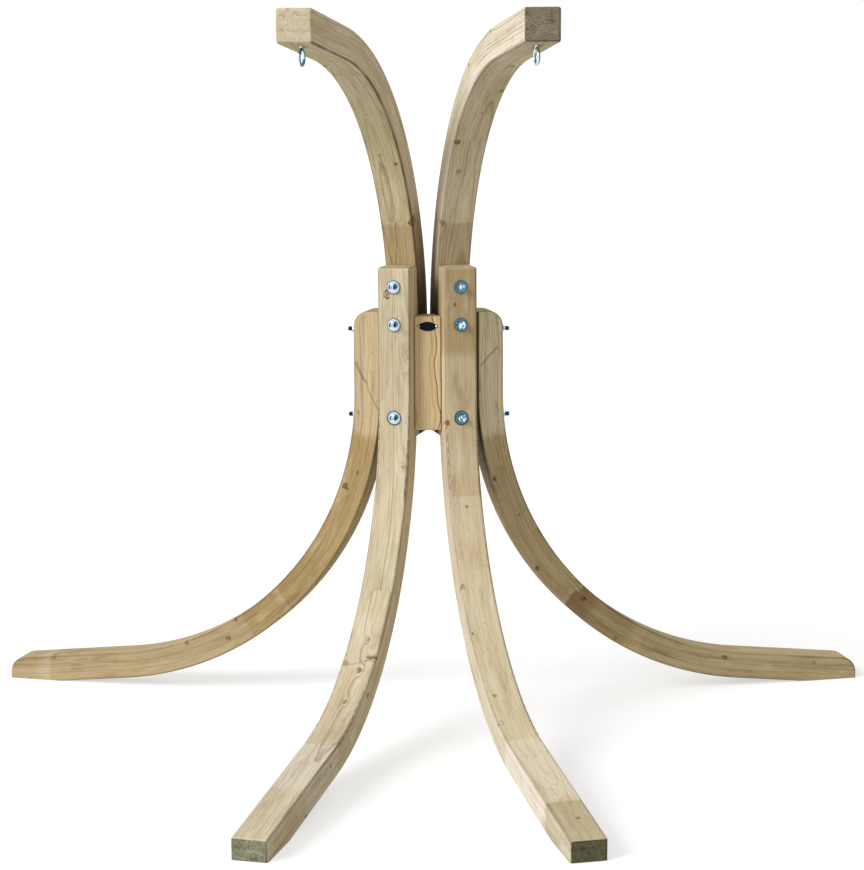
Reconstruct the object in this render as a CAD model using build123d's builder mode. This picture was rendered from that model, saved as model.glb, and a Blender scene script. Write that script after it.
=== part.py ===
"""Wooden stand for a hammock or hanging seat: two arms and four legs of bent, glued laminations.

Millimetres, +Z up, floor at z = 0. The front of the stand faces -Y and the stand is symmetric about
the YZ plane. Each side stands in its own vertical hub plane, turned a little away from straight
ahead. In that plane u runs forward from the arm's rear face, v runs outward from the arm's inner
face and heights are heights above the floor. The left side (-X) is modelled, the right side is its
mirror image.
"""

import os
from math import asin, cos, degrees, radians, sin, sqrt, tan

from build123d import *

os.makedirs("parts", exist_ok=True)

SEATED = (Align.CENTER, Align.CENTER, Align.MIN)

# ---------------------------------------------------------------- driving dimensions
# Timber sections: width across the bend's plane, depth in it
beam_width = 90.0
arm_depth = 82.0
leg_depth = 76.0
arris_radius = 7.0

# Hub
plane_angle = 14.0  # each hub plane is turned this far from straight ahead
arm_gap = 3.0  # between the two arms' inner rear arrises
seat_gap = 0.3  # kept between timbers that meet on curved faces

# Front legs
front_leg_top = 1234.0
front_leg_radius = 829.0
front_leg_angle = 83.4
front_leg_reach = 1269.0  # from its upright centre line to its upright end face
front_sole_length = 198.0  # level sole cut under the toe

# Back legs
back_leg_top = 1104.0
back_leg_radius = 826.0
back_leg_angle = 83.5
back_leg_reach = 1093.0
back_sole_length = 168.0
back_leg_forward = 19.0  # its centre line stands this far in front of the arm's
back_leg_crown = 42.0  # radius of the outer top corner
back_leg_toe = 46.0  # radius of the toe's upper corner

# Arms
arm_bottom = 766.0
arm_bend_height = 1030.0
arm_radius = 815.0
arm_angle = 80.8
arm_reach = 1004.0  # from its rear face to its upright end face

# Packers between arm and legs
side_packer_thickness = 18.0
packer_setback = 5.0  # from the faces around it
front_packer_tip = 7.0  # thickness left at its top end

# Hub block and the blank plate on it
block_top = 1099.0
block_bottom = 789.0
block_front = 147.0  # from the hub's axis
block_rear = 80.0
block_gap = 2.0  # to each front leg
block_arris = 2.5
plate_length = 56.0
plate_height = 25.5
plate_thickness = 1.5
plate_drop = 26.0  # its centre below the block's top
plate_pin_diameter = 3.0
plate_pin_head = 5.0
plate_pin_head_height = 1.25
plate_pin_inset = 4.5
plate_pin_length = 12.0

# M12 coach bolts, penny washers and nuts
bolt_diameter = 12.0
bolt_hole_gap = 0.5  # radial
bolt_head_diameter = 30.0
bolt_head_height = 7.0
bolt_neck = 12.0
bolt_neck_length = 8.0
bolt_tail = 5.0  # thread standing out of the nut
side_bolt_tail = 13.0  # the same on the back legs
bolt_chamfer = 1.2
recess_gap = 2.0  # radial, around a head or washer
recess_depth = 3.0
spot_face_depth = 1.0
washer_diameter = 37.0
washer_thickness = 3.0
washer_edge = 0.75  # radius of its outer edges
nut_across_flats = 19.0
nut_height = 10.8
nut_land_radius = 9.2  # flat ring left at both ends
nut_end_angle = 30.0
thread_gap = 0.1
head_rim = 0.2  # upright part of a domed head, as a share of its height
front_bolt_heights = (1182.0, 1080.0, 827.0)
side_bolt_heights = (1050.0, 812.0)

# Eye bolts under the arm tips
eye_setback = 55.0  # from the arm's end face
eye_bore_radius = 15.0
eye_centre_radius = 18.5
eye_wire_radius = 4.0
eye_drop = 1.0  # the ring's top below the arm's underside
eye_recess_diameter = 19.0
eye_recess_depth = 18.0

# Screws that hold the hub block
screw_diameter = 6.0
screw_head_diameter = 12.0
screw_head_height = 4.0
screw_sink = 30.0  # depth of the counterbore in the leg
screw_head_gap = 1.0  # radial
screw_bite = 25.0  # length in the block
screw_inset = 25.0  # in front of the leg's rear face
screw_heights = (1010.0, 880.0)

# Arrises
cut_past = 1.0  # a cut runs this far past the face it starts from
across_limit = 0.99  # least cosine of a direction that counts as straight across a timber
smooth_turn = 30.0  # edges that turn less than this are left as they are

# ---------------------------------------------------------------- worked-out values
fan = radians(plane_angle)


def lean(face_radius, distance):
    """How far a bent face has left its upright part, this far past the start of the bend."""
    past = max(0.0, distance)
    return face_radius - sqrt(face_radius**2 - past**2)


def straight_run(radius, angle, reach):
    """Straight length between a timber's bend and its end."""
    return (reach - radius * (1 - cos(radians(angle)))) / sin(radians(angle))


def bend_start(radius, angle, reach, sole_length):
    """Height at which a leg's bend starts, with its sole on the floor."""
    turn = radians(angle)
    run = straight_run(radius, angle, reach)
    drop = (radius + leg_depth / 2) * sin(turn) + run * cos(turn)
    return drop + (leg_depth / 2 * cos(turn) - sole_length) / tan(turn)


arm_front_radius = arm_radius - arm_depth / 2
arm_rear_radius = arm_radius + arm_depth / 2
front_packer = lean(arm_front_radius, front_leg_top - arm_bend_height) + seat_gap
leg_rear = arm_depth + front_packer
leg_front = leg_rear + leg_depth
front_leg_bend = bend_start(
    front_leg_radius, front_leg_angle, front_leg_reach, front_sole_length
)
back_leg_bend = bend_start(back_leg_radius, back_leg_angle, back_leg_reach, back_sole_length)
back_leg_inner = beam_width + side_packer_thickness
back_leg_outer = back_leg_inner + leg_depth
back_leg_centre = arm_depth / 2 + back_leg_forward
bolt_hole_radius = bolt_diameter / 2 + bolt_hole_gap
spot_face_radius = washer_diameter / 2 + recess_gap
nut_corner_radius = nut_across_flats / 2 / cos(radians(30))

# Highest point of the end face and the heights of the arm's surfaces above the eye
arm_turn = radians(arm_angle)
arm_run = straight_run(arm_radius, arm_angle, arm_reach - arm_depth / 2)
arm_slope = 1 / tan(arm_turn)
arm_tip_middle = arm_bend_height + arm_radius * sin(arm_turn) + arm_run * cos(arm_turn)
arm_half_height = arm_depth / 2 / sin(arm_turn)
eye_u = arm_reach - eye_setback
eye_under = arm_tip_middle - arm_half_height - eye_setback * arm_slope
eye_over = arm_tip_middle + arm_half_height - eye_setback * arm_slope
eye_centre = eye_under - eye_drop - eye_centre_radius - eye_wire_radius
eye_stack = washer_thickness + nut_height + bolt_tail
eye_seat = eye_over - spot_face_radius * arm_slope - eye_stack - recess_depth

# The outermost toes set how far the hub stands behind the middle of the stand
front_extent = (leg_rear + leg_depth / 2 + front_leg_reach) * cos(fan)
back_extent = (
    (back_leg_inner + leg_depth / 2 + back_leg_reach) * sin(fan)
    - (back_leg_centre - beam_width / 2) * cos(fan)
)
hub_y = (front_extent - back_extent) / 2

# ---------------------------------------------------------------- reference planes
forward = Vector(-sin(fan), -cos(fan), 0)
outward = Vector(-cos(fan), sin(fan), 0)
up = Vector(0, 0, 1)
hub = Vector(-arm_gap / 2, hub_y, 0)


def at(u, v, height):
    """A point of the left hub plane's u, v and height."""
    return hub + forward * u + outward * v + up * height


def side_plane(u=0.0, v=0.0):
    """Upright plane seen from the inside: local x forward, local y up, local z outward."""
    return Plane(origin=at(u, v, 0), x_dir=forward, z_dir=outward)


def forward_axis(u, v, height):
    """Plane whose local z points forward."""
    return Plane(origin=at(u, v, height), x_dir=outward, z_dir=forward)


def outward_axis(u, v, height):
    """Plane whose local z points outward."""
    return Plane(origin=at(u, v, height), x_dir=forward, z_dir=outward)


def upward_axis(u, v, height):
    """Plane whose local z points up and whose local x points forward."""
    return Plane(origin=at(u, v, height), x_dir=forward, z_dir=up)


def bore(plane, radius, depth):
    """Cut a round hole from the plane's origin along its local z."""
    with Locations(plane):
        Cylinder(radius, depth, align=SEATED, mode=Mode.SUBTRACT)


def square_bore(plane, width, depth):
    """Cut a square pocket from the plane's origin along its local z."""
    with Locations(plane):
        Box(width, width, depth, align=SEATED, mode=Mode.SUBTRACT)


def front_bolt_seat(height):
    """u of the seat that is sunk in the arm's rear face for a front bolt's head."""
    recess_top = height + bolt_head_diameter / 2 + recess_gap
    return lean(arm_rear_radius, recess_top - arm_bend_height) + recess_depth


def washer_seat(face, radius, bend, height):
    """Where a washer seats on a leg's face, spot-faced if the leg bends beside it."""
    if height - spot_face_radius >= bend:
        return face
    return face + lean(radius - leg_depth / 2, bend - height - spot_face_radius) - spot_face_depth


def front_washer_seat(height):
    """u of a front bolt's washer seat."""
    return washer_seat(leg_front, front_leg_radius, front_leg_bend, height)


def side_washer_seat(height):
    """v of a side bolt's washer seat."""
    return washer_seat(back_leg_outer, back_leg_radius, back_leg_bend, height)


plate_face = Plane(
    origin=(0, hub_y - block_front, block_top - plate_drop),
    x_dir=(1, 0, 0),
    z_dir=(0, -1, 0),
)


def plate_pin_axis(side):
    """Plane on the block's front face at a plate pin, its local z into the block."""
    across = side * (plate_length / 2 - plate_pin_inset)
    return Plane(origin=plate_face.origin + Vector(across, 0, 0), x_dir=(1, 0, 0), z_dir=(0, 1, 0))


def screw_axis(height):
    """Plane on the front leg's inner face at a block screw, its local z outward."""
    return outward_axis(leg_rear + screw_inset, 0, height)


def mirrored(vector):
    """The same direction or point on the right side."""
    return Vector(-vector.X, vector.Y, vector.Z)


# ---------------------------------------------------------------- hardware shapes
def domed_head(seat, diameter, height):
    """Domed head that stands on the seat, away from the seat's local z."""
    rise = height * (1 - head_rim)
    crown_radius = ((diameter / 2) ** 2 + rise**2) / (2 * rise)
    crown_span = degrees(asin(diameter / 2 / crown_radius))
    profile = Plane(origin=seat.origin, x_dir=seat.x_dir, z_dir=seat.y_dir)
    crown_centre = (0, height - crown_radius)
    with BuildPart() as head:
        with BuildSketch(profile):
            with BuildLine():
                crown = CenterArc(crown_centre, crown_radius, 90 - crown_span, crown_span)
                Polyline(crown @ 1, (0, 0), (diameter / 2, 0), crown @ 0)
            make_face()
        revolve(axis=Axis(seat.origin, seat.z_dir))
    return head.part


def coach_bolt(seat, length):
    """Domed head outside the seat, square neck and shank along the seat's local z."""
    with BuildPart() as bolt:
        with Locations(seat):
            Cylinder(bolt_diameter / 2, length, align=SEATED)
            Box(bolt_neck, bolt_neck, bolt_neck_length - thread_gap, align=SEATED)
        rims = bolt.edges().filter_by(GeomType.CIRCLE)
        chamfer(rims.sort_by_distance(seat.origin)[-1], bolt_chamfer)
        add(domed_head(seat, bolt_head_diameter, bolt_head_height))
    return bolt.part


def washer(seat):
    """Penny washer that stands on the seat."""
    with BuildPart() as ring:
        with Locations(seat):
            Cylinder(washer_diameter / 2, washer_thickness, align=SEATED)
            Cylinder(bolt_hole_radius, washer_thickness, align=SEATED, mode=Mode.SUBTRACT)
        fillet(ring.edges().group_by(SortBy.LENGTH)[-1], washer_edge)
    return ring.part


def nut(seat):
    """Hexagon nut that stands on the seat, its corners turned down at both ends."""
    outer = nut_corner_radius + cut_past
    slope = (outer - nut_land_radius) * tan(radians(nut_end_angle))
    with BuildPart() as hexagon:
        with BuildSketch(seat):
            RegularPolygon(nut_across_flats / 2, 6, major_radius=False)
        extrude(amount=nut_height)
        with Locations(seat):
            Cylinder(bolt_diameter / 2 + thread_gap, nut_height, align=SEATED, mode=Mode.SUBTRACT)
        with BuildSketch(Plane(origin=seat.origin, x_dir=seat.x_dir, z_dir=-seat.y_dir)):
            with BuildLine():
                Polyline(
                    (0, 0),
                    (nut_land_radius, 0),
                    (outer, slope),
                    (outer, nut_height - slope),
                    (nut_land_radius, nut_height),
                    (0, nut_height),
                    close=True,
                )
            make_face()
        revolve(axis=Axis(seat.origin, seat.z_dir), mode=Mode.INTERSECT)
    return hexagon.part


# ---------------------------------------------------------------- timber
def leg_outline(radius, angle, bend, top, reach):
    """Side view of a leg in the local sketch, its upright centre line on the local y axis."""
    half = leg_depth / 2
    slope = 1 / tan(radians(angle))
    with BuildSketch() as outline:
        with BuildLine():
            rear = CenterArc((radius, bend), radius + half, 180, angle)
            front = CenterArc((radius, bend), radius - half, 180, angle)
            rear_toe = rear @ 1 + Vector(1, -slope) * (reach - (rear @ 1).X)
            front_toe = front @ 1 + Vector(1, -slope) * (reach - (front @ 1).X)
            Polyline(rear @ 1, rear_toe, front_toe, front @ 1)
            Polyline(rear @ 0, (-half, top), (half, top), front @ 0)
        make_face()
    return outline.sketch


def rounded_corners(outline, crown, toe):
    """The outline with its upper front corner and its toe's upper corner rounded."""
    with BuildSketch() as rounded:
        add(outline)
        corners = rounded.vertices()
        highest = corners.group_by(Axis.Y)[-1].sort_by(Axis.X)[-1]
        fillet(highest, crown)
        foremost = rounded.vertices().group_by(Axis.X)[-1].sort_by(Axis.Y)[-1]
        fillet(foremost, toe)
    return rounded.sketch


def edge_turn(edge):
    """Angle between the two faces that meet at an edge."""
    middle = edge @ 0.5
    first, second = faces().sort_by_distance(middle)[:2]
    return first.normal_at(middle).get_angle(second.normal_at(middle))


def runs_across(edge, across):
    """Whether an edge of the timber runs straight along its width."""
    return edge.length > beam_width / 2 and abs((edge % 0.5).dot(across)) > across_limit


def round_arrises(across):
    """Round every arris of a timber; across is the direction of its width."""
    sides = faces().filter_by(lambda face: abs(face.normal_at().dot(across)) > across_limit)
    butts = edges().filter_by(lambda edge: runs_across(edge, across))
    sharp = [edge for edge in butts if edge_turn(edge) > smooth_turn]
    fillet(sides.edges() + sharp, arris_radius)


def trim_at_floor():
    """Cut the level sole under the toe."""
    ground = 4 * (front_leg_reach + back_leg_reach)
    Box(ground, ground, ground, align=(Align.CENTER, Align.CENTER, Align.MAX), mode=Mode.SUBTRACT)


with BuildPart() as front_leg:
    with BuildSketch(side_plane(u=leg_rear + leg_depth / 2)):
        add(
            leg_outline(
                front_leg_radius, front_leg_angle, front_leg_bend, front_leg_top, front_leg_reach
            )
        )
    extrude(amount=beam_width)
    round_arrises(outward)
    trim_at_floor()
    for height in front_bolt_heights:
        spot = forward_axis(front_washer_seat(height), beam_width / 2, height)
        bore(forward_axis(leg_rear, beam_width / 2, height), bolt_hole_radius, 2 * leg_depth)
        if height - spot_face_radius < front_leg_bend:
            bore(spot, spot_face_radius, leg_depth)
    for height in screw_heights:
        sunk = screw_axis(height).offset(beam_width - screw_sink)
        bore(screw_axis(height), screw_diameter / 2 + thread_gap, beam_width)
        bore(sunk, screw_head_diameter / 2 + screw_head_gap, screw_sink)

with BuildPart() as back_leg:
    foot_line = at(back_leg_centre, back_leg_inner + leg_depth / 2, 0)
    with BuildSketch(Plane(origin=foot_line, x_dir=outward, z_dir=-forward)):
        side_view = leg_outline(
            back_leg_radius, back_leg_angle, back_leg_bend, back_leg_top, back_leg_reach
        )
        add(rounded_corners(side_view, back_leg_crown, back_leg_toe))
    extrude(amount=beam_width / 2, both=True)
    round_arrises(forward)
    trim_at_floor()
    for height in side_bolt_heights:
        spot = outward_axis(back_leg_centre, side_washer_seat(height), height)
        bore(outward_axis(back_leg_centre, back_leg_inner, height), bolt_hole_radius, 2 * leg_depth)
        if height - spot_face_radius < back_leg_bend:
            bore(spot, spot_face_radius, leg_depth)

with BuildPart() as arm:
    with BuildSketch(side_plane()):
        with BuildLine():
            arc_centre = (arm_depth / 2 + arm_radius, arm_bend_height)
            over = CenterArc(arc_centre, arm_rear_radius, 180, -arm_angle)
            under = CenterArc(arc_centre, arm_front_radius, 180, -arm_angle)
            tip_high = (arm_reach, arm_tip_middle + arm_half_height)
            tip_low = (arm_reach, arm_tip_middle - arm_half_height)
            Polyline(over @ 1, tip_high, tip_low, under @ 1)
            Polyline(over @ 0, (0, arm_bottom), (arm_depth, arm_bottom), under @ 0)
        make_face()
    extrude(amount=beam_width)
    round_arrises(outward)
    for height in front_bolt_heights:
        seat = front_bolt_seat(height)
        rear = forward_axis(-cut_past, beam_width / 2, height)
        bore(rear, bolt_hole_radius, 2 * arm_depth)
        bore(rear, bolt_head_diameter / 2 + recess_gap, seat + cut_past)
        square_bore(rear.offset(seat + cut_past), bolt_neck + 2 * thread_gap, bolt_neck_length)
    for height in side_bolt_heights:
        inner = outward_axis(back_leg_centre, 0, height)
        bore(inner, bolt_hole_radius, beam_width)
        square_bore(inner, bolt_neck + 2 * thread_gap, bolt_neck_length)
    ring_middle = upward_axis(eye_u, beam_width / 2, eye_centre)
    bore(ring_middle, bolt_hole_radius, arm_reach)
    bore(ring_middle, eye_recess_diameter / 2, eye_under - eye_centre + eye_recess_depth)
    bore(ring_middle.offset(eye_seat - eye_centre), spot_face_radius, 2 * arm_depth)

with BuildPart() as front_packer_board:
    arm_side = arm_front_radius - seat_gap / 2
    tip_lean = front_packer - front_packer_tip
    packer_top = arm_bend_height + sqrt(arm_side**2 - (arm_side - tip_lean) ** 2)
    packer_rear = arm_depth + seat_gap / 2
    packer_front = leg_rear - seat_gap / 2
    leg_side = front_leg_radius + leg_depth / 2
    foot_front = packer_front + lean(leg_side, front_leg_bend - arm_bottom)
    with BuildSketch(side_plane(v=packer_setback)):
        with BuildLine():
            against_arm = TangentArc(
                (packer_rear, arm_bend_height),
                (packer_rear + tip_lean, packer_top),
                tangent=(0, 1),
            )
            against_leg = TangentArc(
                (packer_front, front_leg_bend),
                (foot_front, arm_bottom),
                tangent=(0, -1),
            )
            Polyline(against_arm @ 1, (packer_front, packer_top), against_leg @ 0)
            Polyline(against_leg @ 1, (packer_rear, arm_bottom), against_arm @ 0)
        make_face()
    extrude(amount=beam_width - 2 * packer_setback)
    for height in front_bolt_heights:
        bore(forward_axis(0, beam_width / 2, height), bolt_hole_radius, leg_front)

with BuildPart() as side_packer_board:
    rear_u = max(0, back_leg_centre - beam_width / 2) + packer_setback
    front_u = min(arm_depth, back_leg_centre + beam_width / 2) - packer_setback
    packer_high = back_leg_top - packer_setback - back_leg_crown / 2
    packer_low = arm_bottom + packer_setback
    packer_outer = back_leg_inner - seat_gap
    leg_side = back_leg_radius + leg_depth / 2
    foot_outer = packer_outer + lean(leg_side, back_leg_bend - packer_low)
    with BuildSketch(Plane(origin=at(front_u, 0, 0), x_dir=outward, z_dir=-forward)):
        with BuildLine():
            against_leg = TangentArc(
                (packer_outer, back_leg_bend),
                (foot_outer, packer_low),
                tangent=(0, -1),
            )
            Polyline(against_leg @ 1, (beam_width, packer_low), (beam_width, packer_high))
            Polyline((beam_width, packer_high), (packer_outer, packer_high), against_leg @ 0)
        make_face()
    extrude(amount=front_u - rear_u)
    for height in side_bolt_heights:
        bore(outward_axis(back_leg_centre, 0, height), bolt_hole_radius, 2 * back_leg_outer)


def block_half_width(distance):
    """Half width of the hub block at this distance in front of the hub's axis."""
    return arm_gap / 2 + distance * tan(fan) - block_gap / cos(fan)


with BuildPart() as hub_block:
    with BuildSketch(Plane.XY.offset(block_bottom)):
        with BuildLine():
            Polyline(
                (-block_half_width(block_front), hub_y - block_front),
                (block_half_width(block_front), hub_y - block_front),
                (block_half_width(block_rear), hub_y - block_rear),
                (-block_half_width(block_rear), hub_y - block_rear),
                close=True,
            )
        make_face()
    extrude(amount=block_top - block_bottom)
    fillet(edges(), block_arris)
    for height in screw_heights:
        left = screw_axis(height)
        right = Plane(
            origin=mirrored(left.origin),
            x_dir=mirrored(left.x_dir),
            z_dir=mirrored(left.z_dir),
        )
        for line in (left, right):
            bore(line.offset(-screw_bite - block_gap), screw_diameter / 2 + thread_gap, 2 * screw_bite)
    for side in (-1, 1):
        bore(plate_pin_axis(side), plate_pin_diameter / 2 + thread_gap, plate_pin_length)

with BuildPart() as name_plate:
    half_length = plate_length / 2
    half_height = plate_height / 2
    with BuildSketch(plate_face):
        with BuildLine():
            ThreePointArc((-half_length, 0), (0, half_height), (half_length, 0))
            ThreePointArc((half_length, 0), (0, -half_height), (-half_length, 0))
        make_face()
    extrude(amount=plate_thickness)
    for side in (-1, 1):
        through = plate_pin_axis(side).offset(-plate_thickness - cut_past)
        bore(through, plate_pin_diameter / 2 + thread_gap, plate_thickness + 2 * cut_past)

with BuildPart() as name_plate_pins:
    for side in (-1, 1):
        head_seat = plate_pin_axis(side).offset(-plate_thickness)
        with Locations(head_seat):
            Cylinder(plate_pin_diameter / 2, plate_thickness + plate_pin_length, align=SEATED)
        add(domed_head(head_seat, plate_pin_head, plate_pin_head_height))


# ---------------------------------------------------------------- hardware of the left side
with BuildPart() as front_bolts:
    for height in front_bolt_heights:
        head_u = front_bolt_seat(height)
        shank_end = front_washer_seat(height) + washer_thickness + nut_height + bolt_tail
        add(coach_bolt(forward_axis(head_u, beam_width / 2, height), shank_end - head_u))

with BuildPart() as front_washers:
    for height in front_bolt_heights:
        add(washer(forward_axis(front_washer_seat(height), beam_width / 2, height)))

with BuildPart() as front_nuts:
    for height in front_bolt_heights:
        add(nut(forward_axis(front_washer_seat(height) + washer_thickness, beam_width / 2, height)))

with BuildPart() as side_bolts:
    for height in side_bolt_heights:
        shank_end = side_washer_seat(height) + washer_thickness + nut_height + side_bolt_tail
        add(coach_bolt(outward_axis(back_leg_centre, 0, height), shank_end))

with BuildPart() as side_washers:
    for height in side_bolt_heights:
        add(washer(outward_axis(back_leg_centre, side_washer_seat(height), height)))

with BuildPart() as side_nuts:
    for height in side_bolt_heights:
        add(nut(outward_axis(back_leg_centre, side_washer_seat(height) + washer_thickness, height)))

with BuildPart() as block_screws:
    for height in screw_heights:
        head_seat = outward_axis(leg_rear + screw_inset, beam_width - screw_sink, height)
        driven = Plane(origin=head_seat.origin, x_dir=head_seat.x_dir, z_dir=-outward)
        with Locations(driven):
            Cylinder(screw_diameter / 2, beam_width - screw_sink + screw_bite, align=SEATED)
        add(domed_head(driven, screw_head_diameter, screw_head_height))

with BuildPart() as eye_bolt:
    ring_plane = upward_axis(eye_u, beam_width / 2, eye_centre)
    with BuildSketch(ring_plane):
        with Locations((eye_centre_radius, 0)):
            Circle(eye_wire_radius)
        Rectangle(2 * eye_bore_radius, 4 * eye_wire_radius, mode=Mode.SUBTRACT)
    revolve(axis=Axis(ring_plane.origin, outward))
    shank_foot = ring_plane.offset(eye_centre_radius)
    neck_length = eye_under + eye_recess_depth / 2 - shank_foot.origin.Z
    shank_length = eye_seat + eye_stack - shank_foot.origin.Z
    with Locations(shank_foot):
        Cone(eye_wire_radius, bolt_diameter / 2, neck_length, align=SEATED)
    with Locations(shank_foot.offset(neck_length)):
        Cylinder(bolt_diameter / 2, shank_length - neck_length, align=SEATED)

with BuildPart() as eye_washer:
    add(washer(upward_axis(eye_u, beam_width / 2, eye_seat)))

with BuildPart() as eye_nut:
    add(nut(upward_axis(eye_u, beam_width / 2, eye_seat + washer_thickness)))

# ---------------------------------------------------------------- one STEP file for each node
paired = {
    "front_leg": front_leg,
    "back_leg": back_leg,
    "arm": arm,
    "front_packer": front_packer_board,
    "side_packer": side_packer_board,
    "front_bolts": front_bolts,
    "front_washers": front_washers,
    "front_nuts": front_nuts,
    "side_bolts": side_bolts,
    "side_washers": side_washers,
    "side_nuts": side_nuts,
    "block_screws": block_screws,
    "eye_bolt": eye_bolt,
    "eye_washer": eye_washer,
    "eye_nut": eye_nut,
}
for name, left in paired.items():
    left.part.label = f"left_{name}"
    export_step(left.part, f"parts/left_{name}.step")
    with BuildPart() as right:
        mirror(left.part, about=Plane.YZ)
    right.part.label = f"right_{name}"
    export_step(right.part, f"parts/right_{name}.step")

single = {"hub_block": hub_block, "name_plate": name_plate, "name_plate_pins": name_plate_pins}
for name, middle in single.items():
    middle.part.label = name
    export_step(middle.part, f"parts/{name}.step")
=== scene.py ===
"""Looks of the hammock stand: pressure-treated glued spruce, zinc-plated fixings and a blank plate.

Metres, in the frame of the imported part: +Z up, floor at z = 0, front facing -Y. Every shape comes
from the part itself. The timber materials work out where they are along each bent beam, so that
grain, laminations and knots follow the bend and the rings show as arcs on the sawn ends.
"""

from math import cos, pi, radians, sin, sqrt, tan
from types import SimpleNamespace

import bpy
from mathutils import Matrix, Vector


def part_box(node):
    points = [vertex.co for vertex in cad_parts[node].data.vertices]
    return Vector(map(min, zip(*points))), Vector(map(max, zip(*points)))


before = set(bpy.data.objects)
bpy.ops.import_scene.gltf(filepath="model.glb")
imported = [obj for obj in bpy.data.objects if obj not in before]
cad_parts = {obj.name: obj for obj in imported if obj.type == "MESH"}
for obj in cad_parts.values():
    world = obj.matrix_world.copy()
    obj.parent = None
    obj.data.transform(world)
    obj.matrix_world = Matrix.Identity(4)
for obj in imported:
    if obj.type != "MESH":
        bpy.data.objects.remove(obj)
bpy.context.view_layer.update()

# ---------------------------------------------------------------- the stand's own measures
BEAM_WIDTH = 0.090
ARM_DEPTH = 0.082
LEG_DEPTH = 0.076
LAMINATIONS = 3
FRONT_LEG_TOP = 1.234
FRONT_BOLT_HEIGHTS = (0.827, 1.080, 1.182)
PACKER_GAP = 0.0003
SIDE_PACKER = 0.018
BACK_LEG_MIDDLE = 0.060
BLOCK_FRONT = 0.147
HUB_HALF_GAP = 0.0015
HUB_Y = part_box("hub_block")[0].y + BLOCK_FRONT
PLANE_ANGLE = radians(14.0)

# Each kind of beam: its centre line leaves the upright part at bend_height, bends by angle with
# radius, and runs on straight. start is the centre line's distance from the hub's axis in the
# bend's direction, middle the middle of its width, turn +1 where it bends up and -1 down.
ARM = dict(
    start=ARM_DEPTH / 2, middle=BEAM_WIDTH / 2, bend_height=1.030, radius=0.815,
    angle=radians(80.8), turn=1.0, depth=ARM_DEPTH, outward=False,
)


def arm_lean(height):
    """How far the arm's front face has left its upright part at this height."""
    inner = ARM["radius"] - ARM_DEPTH / 2
    return inner - sqrt(inner**2 - (height - ARM["bend_height"]) ** 2)


def leg(start, middle, radius, angle, reach, sole, outward):
    """A leg whose bend's height follows from its reach and the length of its level sole."""
    turn = radians(angle)
    half = LEG_DEPTH / 2
    run = (reach - radius * (1 - cos(turn))) / sin(turn)
    drop = (radius + half) * sin(turn) + run * cos(turn)
    return dict(
        start=start, middle=middle, bend_height=drop + (half * cos(turn) - sole) / tan(turn),
        radius=radius, angle=turn, turn=-1.0, depth=LEG_DEPTH, outward=outward,
    )


FRONT_LEG = leg(
    start=ARM_DEPTH + arm_lean(FRONT_LEG_TOP) + PACKER_GAP + LEG_DEPTH / 2, middle=BEAM_WIDTH / 2,
    radius=0.829, angle=83.4, reach=1.269, sole=0.198, outward=False,
)
BACK_LEG = leg(
    start=BEAM_WIDTH + SIDE_PACKER + LEG_DEPTH / 2, middle=BACK_LEG_MIDDLE,
    radius=0.826, angle=83.5, reach=1.093, sole=0.168, outward=True,
)


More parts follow.
